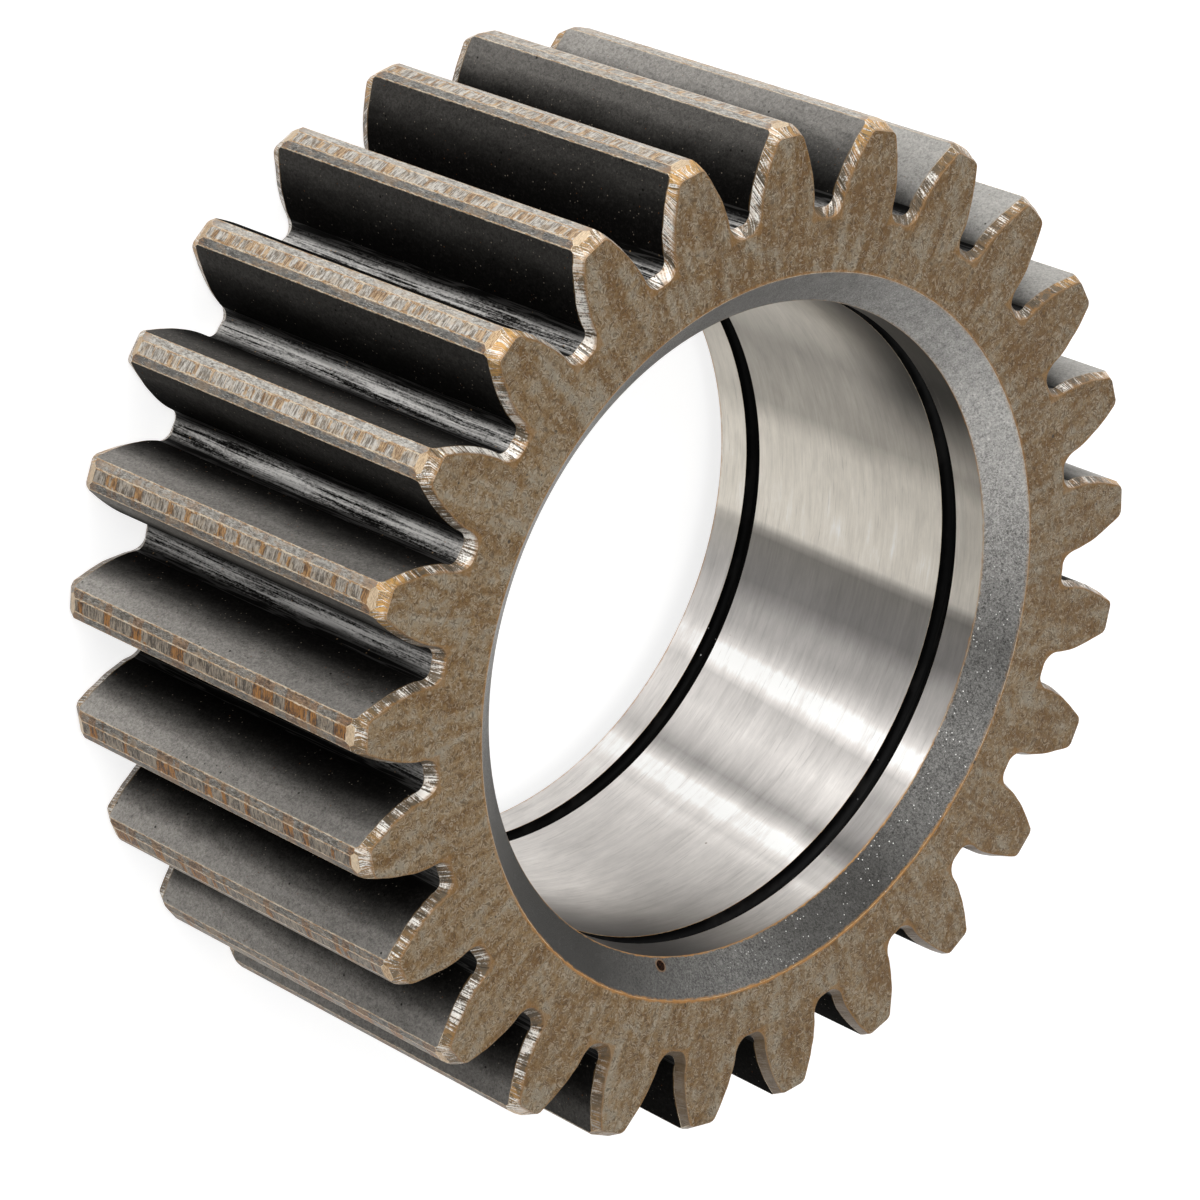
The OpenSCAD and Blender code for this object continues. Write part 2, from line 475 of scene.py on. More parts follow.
class Finish:
    """One surface finish: a material, its coordinates in millimetres and its patterns."""

    def __init__(self, name, metallic=1.0, **constants):
        self.material = bpy.data.materials.new(name)
        self.material.use_nodes = True
        self.tree = self.material.node_tree
        self.shader = self.tree.nodes["Principled BSDF"]
        self.feed(self.shader.inputs["Metallic"], metallic)
        for socket, value in constants.items():
            self.feed(self.shader.inputs[socket.replace("_", " ")], value)
        place = self.node("ShaderNodeTexCoord", out="Object")
        self.place = self.vector("SCALE", place, Scale=1 / MM)
        self.x, self.y, self.z = self.parts(self.place)
        self.height = abs(self.z)
        self.radius = (self.x * self.x + self.y * self.y) ** 0.5
        self.angle = self.y.math("ARCTAN2", self.x)
        turn = self.angle / (2 * HALF_STEP)
        self.tooth = turn.math("ROUND")
        self.across = (turn - self.tooth) * self.radius * (2 * HALF_STEP)

    def feed(self, socket, value):
        """Links a shade to a socket, or sets the socket to a plain number or colour."""
        if isinstance(value, Shade):
            self.tree.links.new(value.socket, socket)
        else:
            socket.default_value = (*value, 1) if socket.type == "RGBA" else value

    def node(self, kind, settings=None, sockets=None, out=0):
        """Adds a node: its settings first, then its sockets' values or links. Returns an output."""
        made = self.tree.nodes.new(kind)
        for name, value in (settings or {}).items():
            if name == "stops":
                set_stops(made.color_ramp, value)
            else:
                setattr(made, name, value)
        for name, value in (sockets or {}).items():
            self.feed(made.inputs[name], value)
        return Shade(self, made.outputs[out])

    def vector(self, operation, *values, out=0, **named):
        """A Vector Math node on vectors, and on named numbers."""
        sockets = {**dict(enumerate(values)), **named}
        return self.node("ShaderNodeVectorMath", {"operation": operation}, sockets, out)

    def parts(self, vector):
        """The three numbers of a vector."""
        sockets = {"Vector": vector}
        return [self.node("ShaderNodeSeparateXYZ", sockets=sockets, out=i) for i in range(3)]

    def join(self, x, y, z):
        """A vector from three numbers."""
        return self.node("ShaderNodeCombineXYZ", sockets={"X": x, "Y": y, "Z": z})

    def noise(self, size, detail=2.0, roughness=0.5, distortion=0.0, at=None, shift=0.0):
        """Cloudy noise from 0 to 1. size is the grain in millimetres, one number or one an axis."""
        sizes = size if isinstance(size, tuple) else (size, size, size)
        where = self.vector("MULTIPLY", at or self.place, tuple(1 / s for s in sizes))
        where = self.vector("ADD", where, (shift, shift * 1.7, shift * 0.6))
        return self.node("ShaderNodeTexNoise", sockets={
            "Vector": where, "Scale": 1.0, "Detail": detail, "Roughness": roughness,
            "Distortion": distortion})

    def ragged(self, distance, size, depth, shift):
        """A distance that noise takes up and down by half a depth, for stains with ragged rims."""
        return distance + (self.noise(size, 2, shift=shift) - 0.5) * depth

    def specks(self, spacing, size, share, shift=0.0):
        """Scattered round specks of a size in millimetres, kept only in a share of the places."""
        where = self.vector("ADD", self.place, (shift, shift, shift))
        cell = self.node("ShaderNodeTexVoronoi", sockets={"Vector": where, "Scale": 1 / spacing})
        kept = self.noise(spacing * 2.3, 1, shift=shift + 2).step(0.62 - share, 0.66 - share)
        return cell.step(size / spacing, size / spacing * 0.6) * kept

    def chance(self, value):
        """A random number from 0 to 1 for each whole value."""
        return self.node("ShaderNodeTexWhiteNoise", {"noise_dimensions": "1D"}, {"W": value})

    def towards(self, degrees, low, high, start=0.0, end=1.0):
        """A soft share that grows towards a bearing, between two cosines of the gap from it."""
        return (self.angle - math.radians(degrees)).math("COSINE").step(low, high, start, end)

    def by_bearing(self, angle, levels):
        """A level that changes with an angle, from a list of bearings in degrees and levels."""
        turn = (angle / (2 * math.pi) + 1).math("FRACT")
        stops = [(degrees / 360, level) for degrees, level in levels]
        return self.node("ShaderNodeValToRGB", {"stops": stops}, {"Fac": turn})

    def mix(self, share, first, second):
        """A colour between two colours."""
        settings = {"data_type": "RGBA", "clamp_factor": True}
        return self.node("ShaderNodeMix", settings, {0: share, 6: first, 7: second}, out=2)

    def finished(self, colour, roughness, relief=None, metallic=None):
        """Feeds the shader colour, roughness and relief in millimetres; returns the material."""
        ends = {"Base Color": colour, "Roughness": roughness}
        if metallic is not None:
            ends["Metallic"] = metallic
        if relief is not None:
            ends["Normal"] = self.node("ShaderNodeBump", sockets={"Distance": MM, "Height": relief})
        for name, value in ends.items():
            self.feed(self.shader.inputs[name], value)
        return self.material


def grey(level):
    """A colour without hue, from black at 0 to white at 1."""
    return (level, level, level)


def set_stops(ramp, stops):
    """Gives a ramp its stops, each a position and a level of grey."""
    while len(ramp.elements) < len(stops):
        ramp.elements.new(1.0)
    for element, (position, level) in zip(ramp.elements, stops):
        element.position = position
        element.color = (*grey(level), 1)


# Half widths of the tip, with its two chamfers, and of the land between them
TIP_HALF = half_tooth(FLANK_END_R) * FLANK_END_R
LAND_HALF = TIP_HALF - TIP_CHAMFER_W

# Colours of the oxide and of the stains
OXIDE_BROWN = (0.088, 0.046, 0.013)
OXIDE_GREY = (0.276, 0.236, 0.174)
AMBER = (0.46, 0.215, 0.055)
CREAM = (0.86, 0.74, 0.56)
SOOT = (0.030, 0.022, 0.016)


def outline_distance(f):
    """Distance on an end face from the chamfered outline of the teeth, as far as it matters."""
    # The tooth's half width by radius is a fit to the flanks, near enough for a stain
    half_width = 8.36 - 0.0415 * (f.radius - 94).math("MAXIMUM", 0) ** 1.75
    in_tooth = half_width - END_CHAMFER_FLANK - abs(f.across)
    in_ring = ROOT_R - END_CHAMFER_ROOT - f.radius
    return in_tooth.math("MAXIMUM", in_ring)


def wrinkles(f, size, count):
    """Winding hairlines from -1 to 1, like the skin on old oxide."""
    return (f.noise(size, 1, 0.5, 1.0) * count).math("SINE")


def near_tip(f):
    """0 on the lower part of a tooth and 1 near its tip."""
    return f.radius.step(101, 107)


def rusty_side(f, least=0.0, most=1.0):
    """How rusty the mouth of the bore is, which has one rusty side."""
    return f.towards(165, 0.3, 0.8, least, most)


def end_face():
    """Brown oxide with a wrinkled skin, radial streaks, golden rust, stained rims and pits, and
    painted light and shade by bearing.
    """
    f = Finish("stained_end_face", 0.0, Specular_IOR_Level=0.2)
    crinkle = f.noise(0.6, 3, 0.72, 1.2)
    patch = f.noise(2.2, 3, 0.65, 1.2, shift=5)
    cloud = f.noise(5.5, 3, 0.6, 1.0, shift=1)
    way = f.join(f.x / f.radius * 26, f.y / f.radius * 26, f.radius * 0.06)
    streak = f.noise(1.0, 4, 0.6, 0.4, at=way)
    skin = wrinkles(f, 1.9, 34) * f.noise(1.5, 2, 0.6, shift=14).step(0.35, 0.60)
    share = (crinkle - 0.5) * 2.7 + (patch - 0.5) * 1.2 + (cloud - 0.5) * 1.6 + (streak - 0.5) * 2.6
    # Painted light and shade: the face is lighter towards bearing 90 and darker towards bearing -50
    painted_bearing_light = f.towards(90, 0.1, 1.0) * 0.16 - f.towards(-50, 0.0, 1.0) * 0.10
    share = (share + painted_bearing_light + 0.49).step(-0.15, 1.15)
    colour = f.mix(share, OXIDE_BROWN, OXIDE_GREY)
    golden = (cloud * 0.42 + patch * 0.20 + streak * 0.38).step(0.64, 0.38)
    rust = f.mix(share, (0.145, 0.072, 0.016), (0.350, 0.207, 0.066))
    colour = f.mix(golden * 0.75, colour, rust)
    colour = f.mix(skin.step(0.15, 1.0) * 0.45, colour, (0.46, 0.40, 0.31))
    colour = f.mix(skin.step(-0.10, -1.0) * 0.60, colour, (0.050, 0.028, 0.010))
    rim = f.ragged(outline_distance(f), 1.6, 1.2, 7)
    colour = f.mix(rim.step(0.75, 0.05) * 0.6, colour, (0.25, 0.125, 0.030))
    mouth = f.ragged(f.radius, 2.0, 0.9, 8).step(BORE_MOUTH_R + 0.7, BORE_MOUTH_R + 0.2)
    colour = f.mix(mouth * rusty_side(f, 0.35, 0.9), colour, (0.40, 0.185, 0.045))
    pits = f.specks(3.1, 0.28, 0.06).math("MAXIMUM", f.specks(7.0, 0.55, 0.03, shift=20))
    colour = f.mix(pits * 0.9, colour, SOOT)
    return f.finished(colour, crinkle * 0.3 + 0.42, crinkle * 0.35 + skin * 0.06 - pits * 0.15)


def end_chamfer():
    """Dressed bright metal with marks across the chamfer, amber near the tips and the edges, and
    painted shade by bearing.
    """
    f = Finish("dressed_end_chamfer", 0.25, Specular_IOR_Level=0.3)
    along = f.node("ShaderNodeAttribute", {"attribute_name": "along"}, out="Fac") + f.tooth * 53
    leaning = abs(f.across).step(4.2, 5.6) * f.across.step(-0.1, 0.1, -0.9, 0.9)
    lean = along + (END_Z - f.height) * leaning * f.towards(-15, 0.85, 0.97)
    marks = f.noise(1.0, 3, 0.72, at=f.join(lean / 0.40, f.z * 0.06, f.tooth))
    coarse = f.noise(1.0, 3, 0.62, 0.6, at=f.join(lean / 1.7, f.z * 0.35, f.tooth * 3))
    broad = f.noise(1.0, 2, 0.5, at=f.join(along / 4.2, f.z * 0.1, f.tooth * 5))
    fine = f.noise(0.35, 2, 0.6)
    up = f.height + (coarse - 0.5) * 1.3
    # Painted shade: the chamfers are darker towards bearings 100 and -70
    painted_bearing_shade = f.towards(100, 0.2, 0.9) * 0.05 + f.towards(-70, 0.2, 0.9) * 0.08 + 0.015
    shade = marks * 0.65 + coarse * 0.35 + (fine - 0.5) * 0.30 + (broad - 0.5) * 0.45 - painted_bearing_shade
    shade = shade.step(0.42, 0.55)
    colour = f.mix(shade, (0.13, 0.100, 0.066), (1.0, 0.97, 0.91))
    gold = f.chance(f.tooth + 15).step(0.2, 0.9, 0.25, 1.0)
    high = near_tip(f)
    stain = coarse.step(0.45, 0.55) * marks.step(0.66, 0.46) * gold * (high * 0.6 + 0.4)
    colour = f.mix(stain, colour, (0.50, 0.24, 0.055))
    colour = f.mix(high * gold * marks.step(0.58, 0.44) * 0.8, colour, (0.66, 0.39, 0.13))
    colour = f.mix(up.step(END_Z - 0.7, END_Z - 0.1) * 0.7, colour, (0.30, 0.155, 0.045))
    dark = marks.step(0.45, 0.37) * coarse.step(0.56, 0.46)
    colour = f.mix(dark * 0.75, colour, (0.030, 0.022, 0.015))
    # Painted shade: towards bearing 185 the chamfers turn dull brown
    shaded_chamfer = f.mix(coarse, (0.070, 0.042, 0.020), (0.19, 0.13, 0.07))
    colour = f.mix(f.towards(185, 0.55, 0.82) * 0.93, colour, shaded_chamfer)
    return f.finished(colour, marks * 0.25 + 0.22, marks * 0.25 + coarse * 0.3 + fine * 0.05)


def stain_blocks(f):
    """Rectangular stains along a tooth, and the side of the gear on which they are strong, which
    also gets painted shade.
    """
    # The stains are strong towards bearing 112, where the lands and tip chamfers are also given
    # painted shade
    side = f.towards(112, 0.35, 0.75)
    own = f.tooth * 7.3
    ragged = (f.noise((0.5, 0.5, 0.35), 2, 0.7) - 0.5) * 0.8
    lane = ((f.across + ragged) / 1.9 + 0.5).math("FLOOR")
    short = f.noise(1.0, 1, 0.5, at=f.join((f.z + ragged) / 2.0, own + lane * 3.7, lane))
    long = f.noise(1.0, 1, 0.5, at=f.join((f.z + ragged) / 4.4, own, 0.0))
    part = side * 0.45 + 0.35
    blocks = short * (1 - part) + long * part
    return blocks.step(0.532, 0.545), side


def tip_land():
    """Ground lands with fine marks across the tooth, block stains, golden edges and painted shade
    on one side of the gear.
    """
    f = Finish("ground_tip_land", 0.15, Specular_IOR_Level=0.2)
    marks = f.noise((2.2, 2.2, 0.22), 3, 0.75, 0.2)
    bars = f.noise((2.6, 2.6, 0.9), 2, 0.6, 0.3, shift=9)
    fine = f.noise(0.45, 2, 0.65, 0.5, shift=2)
    wide = f.noise(2.6, 3, 0.65, 0.5, shift=4)
    stain, side = stain_blocks(f)
    bright = ((marks - 0.5) * 3.4 + (bars - 0.5) * 2.2 + (fine - 0.5) * 0.9 + 0.5).step(0.0, 1.0)
    colour = f.mix(bright, (0.215, 0.180, 0.140), (0.74, 0.70, 0.64))
    warm = f.mix(bright, (0.22, 0.13, 0.06), (0.62, 0.47, 0.30))
    colour = f.mix(wide.step(0.48, 0.66) * 0.55, colour, warm)
    # Painted shade: the lands towards bearing 112 are darker, and their stains are a lit and a
    # shaded copy
    colour = f.mix(side * 0.85, colour, f.mix(bright, (0.042, 0.029, 0.018), (0.35, 0.28, 0.20)))
    stain_in_light = f.mix(bright, (0.22, 0.090, 0.018), (0.66, 0.390, 0.130))
    stain_in_shade = f.mix(bright, (0.050, 0.020, 0.006), (0.46, 0.195, 0.035))
    colour = f.mix(stain * (side * 0.30 + 0.62), colour, f.mix(side, stain_in_light, stain_in_shade))
    dents = f.specks(1.6, 0.22, 0.10, shift=12)
    colour = f.mix(dents * 0.8, colour, (0.045, 0.032, 0.022))
    edge = f.ragged(abs(f.across), 0.9, 0.5, 6)
    golden = f.mix(wide.step(0.42, 0.58), (0.46, 0.24, 0.075), CREAM)
    colour = f.mix(edge.step(LAND_HALF - 0.28, LAND_HALF - 0.10) * 0.8, colour, golden)
    relief = marks * 0.14 + bars * 0.2 + fine * 0.06 - dents * 0.06
    return f.finished(colour, bright * 0.2 + 0.30, relief)


def tip_bevel():
    """The small turned bevel at the ends of the lands, amber over grey."""
    f = Finish("turned_tip_bevel", 0.4)
    marks = f.noise((0.8, 0.8, 0.13), 3, 0.65)
    own = f.chance(f.tooth + 31)
    colour = f.mix(marks.step(0.38, 0.60), (0.26, 0.125, 0.04), (0.66, 0.48, 0.28))
    colour = f.mix(own * 0.6, colour, CREAM)
    return f.finished(colour, 0.38, marks * 0.08)


def tip_chamfer():
    """Long chamfers on the tip edges, a fine mottled grey with small scratches, and painted light
    and shade.
    """
    f = Finish("tip_edge_chamfer", 0.15, Specular_IOR_Level=0.2)
    mottle = f.noise((0.45, 0.45, 1.1), 3, 0.70, 0.8)
    cloud = f.noise((2, 2, 5), 3, 0.65, 0.5, shift=3)
    scratch = f.noise((0.3, 0.3, 1.8), 3, 0.6, 1.8, shift=7).step(0.58, 0.66)
    # Painted light and shade: one side of each tooth has a lit copy, the other a shaded copy, which
    # turns lit towards bearing -50
    lit_side = f.across.step(-0.2, 0.2, 1.0, 0.0)
    share = ((mottle - 0.5) * 2.2 + (cloud - 0.5) * 1.0 + 0.5).step(0.0, 1.0)
    shaded_side_colour = f.mix(share, (0.085, 0.081, 0.074), (0.31, 0.295, 0.27))
    lit_side_colour = f.mix(share, (0.22, 0.195, 0.165), (0.80, 0.775, 0.72))
    colour = f.mix(lit_side, shaded_side_colour, lit_side_colour)
    colour = f.mix(f.towards(-50, 0.5, 0.95) * (1 - lit_side), colour, lit_side_colour)
    stain, side = stain_blocks(f)
    # Painted shade towards bearing 112
    colour = f.mix(side * 0.85, colour, f.mix(share, (0.060, 0.050, 0.038), (0.27, 0.245, 0.21)))
    colour = f.mix(scratch * 0.6, colour, (0.80, 0.78, 0.74))
    rust = f.mix(share, (0.09, 0.036, 0.010), (0.42, 0.19, 0.050))
    colour = f.mix(stain * side * 0.5, colour, rust)
    colour = f.mix(cloud.step(0.50, 0.62) * 0.35, colour, (0.36, 0.22, 0.10))
    # Cream and amber lines along both edges: worn edges, and on the outer edge also a painted
    # highlight
    edge = f.ragged(abs(f.across), 0.9, 0.5, 6)
    outer = edge.step(TIP_HALF - 0.28, TIP_HALF - 0.08)
    inner = edge.step(LAND_HALF + 0.24, LAND_HALF + 0.06)
    golden = f.mix(mottle.step(0.4, 0.6), (0.44, 0.22, 0.07), CREAM)
    colour = f.mix(outer.math("MAXIMUM", inner) * 0.75, colour, golden)
    end = f.height.step(BEVEL_Z - 2.5, BEVEL_Z + 1.0) * mottle.step(0.4, 0.6)
    colour = f.mix(end * 0.7, colour, (0.34, 0.155, 0.045))
    return f.finished(colour, mottle * 0.25 + 0.30, mottle * 0.16 + scratch * 0.03)


def flank():
    """Blackened flanks with a fine grain, grey towards the tips on one side by bearing: painted
    sheen and light, and wear.
    """
    f = Finish("blackened_flank", 0.0, Specular_IOR_Level=0.0)
    grain = f.noise(0.62, 3, 0.68, 0.8)
    cloud = f.noise((5, 5, 14), 3, 0.6, 0.6)
    smear = f.noise((1.6, 1.6, 3.2), 3, 0.65, 1.0, shift=5)
    lift = f.radius + (cloud - 0.5) * 4
    first_side = f.across.step(-0.5, 0.5, 1.0, 0.0)
    # Painted sheen and light, partly wear: the flanks turn grey towards the tips, most on the
    # bearings where light falls
    light_and_wear_first = f.towards(93, 0.45, 1.0, 0.0, 1.3) * first_side
    light_and_wear_second = f.towards(-65, 0.40, 0.95, 0.22, 1.5) * (1 - first_side)
    height = (lift.step(94, 113) ** 2.4).math("MINIMUM", 0.44)
    # The same painted sheen is spread to bearings on the far side, so the flanks look alike all
    # round
    unseen_first = f.towards(-72, -0.15, 0.15) * first_side
    unseen_second = f.towards(165, -0.42, -0.10) * (1 - first_side)
    sides = light_and_wear_first + light_and_wear_second + (unseen_first + unseen_second) * 1.3
    worn = height * sides * f.z.step(-70, 60, 1.3, 0.7) + 0.004
    speckle = (grain - 0.5) * 2.0 + (smear - 0.5) * 0.8 + 1
    colour = f.mix(worn * speckle, (0.0050, 0.0047, 0.0044), (0.56, 0.53, 0.49))
    # Painted light: the flanks facing bearing -72 are light grey up from the root
    painted_lit_flank = f.towards(-72, 0.62, 0.93) * (1 - first_side) * lift.step(92, 101)
    bare = f.mix(speckle.step(0.5, 1.5), (0.34, 0.33, 0.31), (0.64, 0.62, 0.585))
    colour = f.mix(painted_lit_flank, colour, bare)
    colour = f.mix(speckle.step(0.9, 1.6) * 0.10, colour, (0.12, 0.11, 0.10))
    colour = f.mix(f.specks(1.3, 0.18, 0.14) * 0.6, colour, (0.36, 0.31, 0.25))
    colour = f.mix(f.specks(1.7, 0.19, 0.08, shift=9) * 0.6, colour, (0.20, 0.08, 0.024))
    colour = f.mix(f.specks(2.2, 0.34, 0.04, shift=17) * 0.8, colour, (0.004, 0.004, 0.003))
    # Cream line at the top of the flank: edge wear and a painted highlight
    top = f.ragged(f.radius, 1.1, 0.5, 6)
    colour = f.mix(top.step(FLANK_END_R - 0.22, FLANK_END_R) * 0.5, colour, CREAM)
    end = f.ragged(f.height, 1.4, 0.6, 12)
    colour = f.mix(end.step(OUTLINE_Z - 0.4, OUTLINE_Z - 0.1) * 0.3, colour, (0.40, 0.25, 0.11))
    relief = grain * 0.22 + smear * 0.1
    return f.finished(colour, grain * 0.25 + 0.35, relief, metallic=worn * 0.5 + 0.03)


def root():
    """Roots with bright streaks from the cutter along their middle, black beside them; their
    brightness is painted light by bearing.
    """
    f = Finish("hobbed_root", 0.0, Specular_IOR_Level=0.02)
    off_middle = HALF_STEP * f.radius - abs(f.across)
    streak = f.noise((0.42, 0.42, 16), 4, 0.66, 0.4)
    wide = f.noise((1.3, 1.3, 30), 2, 0.5, 0.3, shift=3)
    grain = f.noise((0.4, 0.4, 0.9), 3, 0.7, shift=8)
    middle = (off_middle + (wide - 0.5) * 3.0).step(2.9, 0.8)
    # Painted light: the streaks and specks show only on bearings where light falls
    lit = f.towards(15, 0.0, 0.85, 0.10, 1.0).math("MAXIMUM", f.towards(-60, 0.5, 0.95) * 1.4)
    lit = lit.math("MAXIMUM", f.towards(-130, 0.60, 0.85) * 0.6)
    bright = middle * (streak * 0.45 + wide * 0.30 + grain * 0.25).step(0.42, 0.58) * lit
    colour = f.mix(bright, (0.0060, 0.0057, 0.0053), (0.78, 0.76, 0.73))
    stripe = wide.step(0.46, 0.50) * wide.step(0.56, 0.52) * (1 - middle)
    colour = f.mix(stripe * 0.3, colour, (0.16, 0.155, 0.15))
    colour = f.mix(f.specks(1.9, 0.24, 0.06, shift=4) * lit * 0.7, colour, (0.46, 0.30, 0.16))
    return f.finished(colour, streak * 0.2 + 0.30, streak * 0.10, metallic=bright * 0.4)


# Painted reflections: bands of light and dark along the bore's axis, by bearing
PAINTED_BORE_REFLECTIONS = [
    (0, 0.46), (138, 0.44), (146, 0.56), (151, 0.72), (157, 0.76), (163, 0.74), (170, 0.66),
    (186, 0.71), (188, 0.82), (190.3, 0.66), (192.5, 0.96), (195.6, 0.96), (197.4, 0.50),
    (199.8, 0.34), (203, 0.58), (208, 0.76), (211.5, 0.66), (215.8, 0.56), (217.2, 1.0),
    (220.8, 1.0), (222.6, 0.66), (226, 0.47), (230, 0.44), (234.5, 0.22), (244.1, 0.215),
    (246.2, 0.76), (250, 0.80), (258, 0.74), (265, 0.66), (270, 0.38), (286, 0.30), (298, 0.54),
]


def painted_bore_light(f):
    """How bright the bore is at a place: its painted reflection bands, which lean a little, and
    painted shade at its ends.
    """
    lean = f.towards(205, 0.906, 0.978) * 0.055 + 0.02
    level = f.by_bearing(f.angle + f.z * lean * math.radians(1), PAINTED_BORE_REFLECTIONS)
    # Painted shade: the end beyond the rear groove is flatter and darker, and near the front it is
    # darker on some bearings
    level = level + f.z.step(-31, -33) * (0.32 - level * 0.4)
    front = f.z.step(31, 33.5)
    land = f.towards(199, 0.974, 0.9925) * 0.52 + f.towards(256, 0.961, 0.982) * 0.22
    low_side = f.towards(305, 0.80, 0.97) * f.z.step(4, 30) * 0.9
    high_side = f.towards(138, 0.74, 0.99) * f.z.step(-4, 34) * 0.95
    return level * (1 - front * land) * (1 - low_side) * (1 - high_side)


def bore():
    """Ground bore with fine marks round the axis, and painted reflections in bands along it with
    painted shade.
    """
    f = Finish("ground_bore", 1.0, Anisotropic=0.95, Anisotropic_Rotation=0.25)
    marks = f.noise((16, 16, 0.8), 5, 0.78)
    worn = f.noise((7, 7, 1.6), 4, 0.7, 0.3)
    cloud = f.noise((13, 13, 5), 3, 0.6, 0.3)
    level = painted_bore_light(f)
    level = level * ((marks - 0.5) * 0.55 + (worn - 0.5) * 0.30 + (cloud - 0.5) * 0.45 + 1.02)
    tint = f.mix(f.towards(276, 0.75, 0.90), (1.0, 0.958, 0.920), (1.0, 0.940, 0.835))
    # Painted highlight: the brightest bands turn white
    colour = f.mix(level, (0, 0, 0), f.mix(level.step(0.80, 1.0), tint, (1, 1, 0.985)))
    line = f.noise((11, 11, 0.5), 3, 0.7, shift=4).step(0.60, 0.68) * 0.22
    colour = f.mix(line, colour, (0.20, 0.19, 0.175))
    stained = f.ragged(f.height, 1.5, 0.8, 5)
    colour = f.mix(stained.step(BORE_END_Z - 0.5, BORE_END_Z - 0.1) * 0.5, colour, AMBER)
    colour = f.mix(f.specks(9, 0.35, 0.02, shift=6) * 0.6, colour, (0.16, 0.10, 0.05))
    return f.finished(colour, marks * 0.14 + 0.32, marks * 0.006)


# Painted light and shade of the blasted bore chamfer: its brightness by bearing
CHAMFER_PAINTED_LIGHT = [
    (0, 0.16), (15, 0.21), (30, 0.44), (60, 0.50), (80, 0.19), (92, 0.08), (105, 0.02), (130, 0.03),
    (150, 0.20), (165, 0.27), (180, 0.13), (195, 0.09), (210, 0.26), (225, 0.32), (240, 0.20),
    (255, 0.49), (270, 0.82), (285, 0.95), (300, 0.71), (315, 0.60), (330, 0.36), (345, 0.25),
    (360, 0.16),
]


def bore_chamfer():
    """Blasted chamfer: grey grain with painted light by bearing, painted sparkles, rusty edges and
    stain round the pit.
    """
    f = Finish("blasted_bore_chamfer", 0.5, Specular_IOR_Level=0.3)
    grain = f.noise(0.44, 3, 0.70, 0.8)
    blotch = f.noise(2.6, 4, 0.65, 0.5, shift=2)
    level = f.by_bearing(f.angle, CHAMFER_PAINTED_LIGHT)
    rough = f.towards(-50, 0.4, 0.97, 2.2, 1.1)
    share = ((grain - 0.5) * rough * 1.15 + (blotch - 0.5) * 0.6 + 0.5).step(-0.2, 1.2)
    colour = f.mix(share * level, (0.018, 0.017, 0.015), (0.90, 0.88, 0.84))
    # Painted glints: white specks, strongest towards bearing -148
    lit = f.towards(-148, 0.5, 0.98, 0.12, 1.0)
    colour = f.mix(f.specks(0.9, 0.17, 0.10) * lit * 0.9, colour, (0.95, 0.94, 0.91))
    colour = f.mix(f.specks(1.3, 0.20, 0.10, shift=9) * 0.6, colour, (0.018, 0.015, 0.012))
    radius = f.ragged(f.radius, 1.2, 0.6, 5)
    mouth = radius.step(BORE_MOUTH_R - 0.5, BORE_MOUTH_R - 0.1)
    edges = radius.step(BORE_R + 0.3, BORE_R + 0.1).math("MAXIMUM", mouth)
    patch = f.noise(2.2, 3, 0.6, shift=9).step(0.35, 0.6, 0.3, 0.85)
    colour = f.mix(edges * patch * rusty_side(f, 0.3), colour, (0.40, 0.20, 0.055))
    gap = f.vector("DISTANCE", f.place, tuple(polar(PIT_R, PIT_BEARING, PIT_Z)), out=1)
    colour = f.mix(f.ragged(gap, 0.7, 0.6, 3).step(1.75, 1.2) * 0.6, colour, (0.28, 0.13, 0.04))
    return f.finished(colour, grain * 0.3 + 0.32, grain * 0.30)


def groove():
    """Snap-ring grooves, black and glossy with faint turned lines and a few painted glints."""
    f = Finish("dark_snap_ring_groove", 0.0, Specular_IOR_Level=0.06)
    marks = f.noise((8, 8, 0.35), 3, 0.6)
    colour = f.mix(marks.step(0.45, 0.7), (0.0012, 0.0012, 0.0012), (0.010, 0.0095, 0.009))
    # Painted glints: white specks only near bearing -144
    lit = f.towards(-144, 0.985, 0.997)
    colour = f.mix(f.specks(1.5, 0.26, 0.05) * lit, colour, (0.9, 0.9, 0.88))
    return f.finished(colour, marks * 0.2 + 0.35, marks * 0.03)


def tooth_edge():
    """Thin worn line along the edges of the teeth, from bare metal to amber stain."""
    f = Finish("worn_tooth_edge", 0.5)
    patch = f.noise(1.8, 3, 0.65, 0.5)
    on_face = f.height.step(END_Z - 0.5, END_Z - 0.2)
    colour = f.mix(patch.step(0.42, 0.58), (0.40, 0.215, 0.08), CREAM)
    colour = f.mix(on_face * 0.8, colour, (0.20, 0.095, 0.032))
    lower = f.mix(0.6, colour, (0.14, 0.10, 0.065))
    return f.finished(f.mix(near_tip(f), lower, colour), 0.35, patch * 0.03)


def bore_edge():
    """Thin line where the chamfer meets the face and the bore, stained orange in places."""
    f = Finish("stained_bore_edge", 0.5)
    patch = f.noise(2.6, 3, 0.68, 0.5)
    worn = patch.step(0.40, 0.62)
    rusty = f.mix(worn, (0.42, 0.19, 0.045), (0.66, 0.48, 0.27))
    plain = f.mix(worn, (0.34, 0.26, 0.17), (0.62, 0.53, 0.40))
    return f.finished(f.mix(rusty_side(f), plain, rusty), 0.38, patch * 0.03)


def pit_wall():
    """Rust in the casting pit of the bore chamfer."""
    f = Finish("rusty_pit", 0.0, Specular_IOR_Level=0.1)
    grain = f.noise(0.25, 3, 0.6)
    colour = f.mix(grain.step(0.4, 0.65), (0.004, 0.003, 0.002), (0.035, 0.012, 0.005))
    return f.finished(colour, 0.8, grain * 0.05)


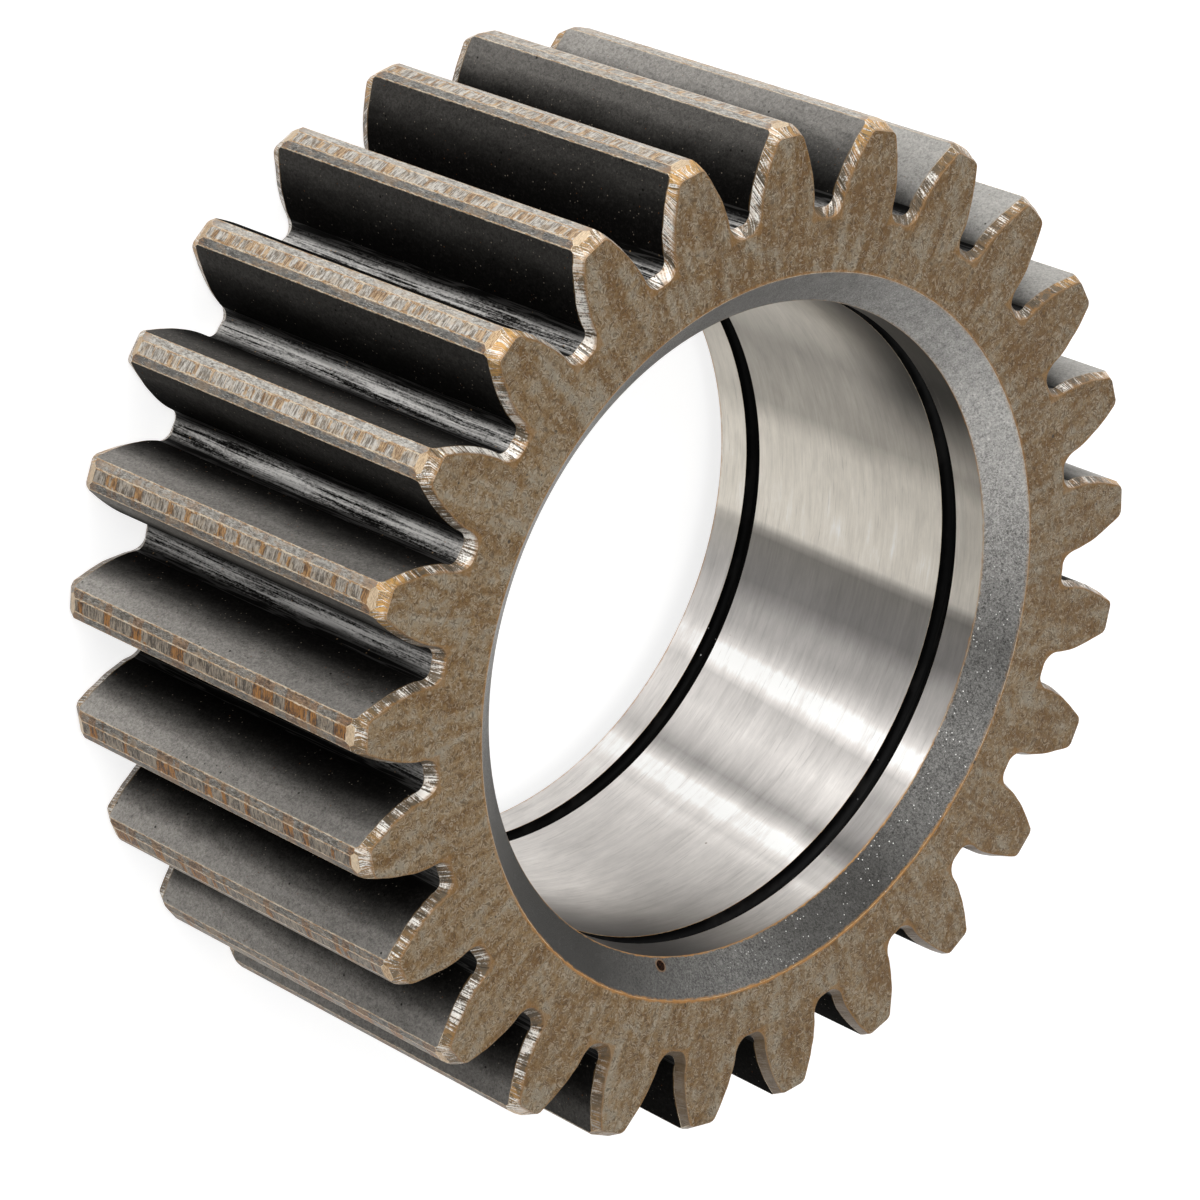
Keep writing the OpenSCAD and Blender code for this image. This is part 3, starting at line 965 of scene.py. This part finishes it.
def finishes():
    """Every finish's material, by the finish's name."""
    made = [
        end_face(), end_chamfer(), tip_bevel(), tip_land(), tip_chamfer(), flank(), root(),
        bore(), bore_chamfer(), groove(), tooth_edge(), bore_edge(), pit_wall(),
    ]
    return dict(zip(FINISHES, made))


# The camera: its lens, where it stands in millimetres, and its right, up and back directions
LENS = 148.85
CAMERA_PLACE = (535.11, 559.15, 718.20)
CAMERA_AXES = (
    (-0.15543, -0.72208, 0.67412),
    (0.84580, -0.44984, -0.28683),
    (0.51036, 0.52559, 0.68065),
)


def camera():
    """The photograph's point of view."""
    data = bpy.data.cameras.new("camera")
    data.lens = LENS
    data.sensor_width = 36
    data.clip_start, data.clip_end = 0.05, 100
    made = bpy.data.objects.new("camera", data)
    turn = Matrix(CAMERA_AXES).transposed().to_4x4()
    made.matrix_world = Matrix.Translation(Vector(CAMERA_PLACE) * MM) @ turn
    bpy.context.scene.collection.objects.link(made)
    bpy.context.scene.camera = made


# Softboxes round the object: bearing, width in bearing, lowest and highest elevation, brightness
SOFTBOXES = {
    "key": (-2, 46, 4, 44, 3.4),
    "key_strip": (32, 11, 12, 70, 3.4),
    "side_fill": (-75, 40, 10, 50, 0.5),
    "top": (20, 50, 62, 100, 1.35),
    "rim": (150, 30, 20, 50, 1.8),
    "back_fill": (-130, 56, 2, 26, 2.0),
}
STUDIO_R = 2.5

# The sky's light and its brightness as seen, and the floor's size, colour and white glow
SKY_LIGHT = 0.15
SKY_SEEN = 0.85
FLOOR_R = 12
FLOOR_COLOUR = 0.45
FLOOR_GLOW = 0.79


def softbox(name, bearing, width, low, high, brightness):
    """A light that faces the object and covers a range of bearing and elevation."""
    rise = (high - low) / 2
    data = bpy.data.lights.new(name, "AREA")
    data.shape = "RECTANGLE"
    data.size = 2 * STUDIO_R * math.tan(math.radians(width / 2))
    data.size_y = 2 * STUDIO_R * math.tan(math.radians(rise))
    data.energy = brightness * math.pi * data.size * data.size_y
    made = bpy.data.objects.new(name, data)
    turn, lift = math.radians(bearing), math.radians(low + rise)
    flat = math.cos(lift)
    away = Vector((math.cos(turn) * flat, math.sin(turn) * flat, math.sin(lift)))
    made.location = away * STUDIO_R
    made.rotation_mode = "QUATERNION"
    made.rotation_quaternion = away.to_track_quat("Z", "Y")
    made.visible_camera = False
    bpy.context.scene.collection.objects.link(made)


def seen_directly(f):
    """1 for what is seen straight, mirrored or through glass, and 0 for the light it gives."""
    straight, mirrored, through = [
        f.node("ShaderNodeLightPath", out=name)
        for name in ("Is Camera Ray", "Is Glossy Ray", "Is Transmission Ray")]
    return straight.math("MAXIMUM", mirrored).math("MAXIMUM", through)


class Surround(Finish):
    """The world's own node tree, with the same arithmetic as a finish."""

    def __init__(self, world):
        self.tree = world.node_tree


def studio():
    """A white sky that gives little light, and the softboxes."""
    world = bpy.data.worlds.new("studio")
    world.use_nodes = True
    sky = Surround(world)
    background = world.node_tree.nodes["Background"]
    strength = seen_directly(sky) * (SKY_SEEN - SKY_LIGHT) + SKY_LIGHT
    sky.feed(background.inputs["Color"], grey(1))
    sky.feed(background.inputs["Strength"], strength)
    bpy.context.scene.world = world
    for name, values in SOFTBOXES.items():
        softbox(name, *values)


def floor():
    """A pale floor that shows white and keeps the object's shadow."""
    mesh = bpy.data.meshes.new("floor")
    bm = bmesh.new()
    bmesh.ops.create_circle(bm, cap_ends=True, segments=FLOOR_N, radius=FLOOR_R)
    bm.to_mesh(mesh)
    bm.free()
    made = bpy.data.objects.new("floor", mesh)
    made.location.z = LOW.z
    f = Finish("floor", 0.0, Emission_Strength=1.0, Specular_IOR_Level=0.0)
    glow = f.mix(seen_directly(f), grey(0), grey(FLOOR_GLOW))
    f.feed(f.shader.inputs["Emission Color"], glow)
    mesh.materials.append(f.finished(grey(FLOOR_COLOUR), 0.9))
    bpy.context.scene.collection.objects.link(made)


camera()
studio()
floor()
gear = gear_piece(finishes())
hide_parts("planet_gear")
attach(gear, "root")

bpy.context.scene.view_settings.view_transform = "Standard"
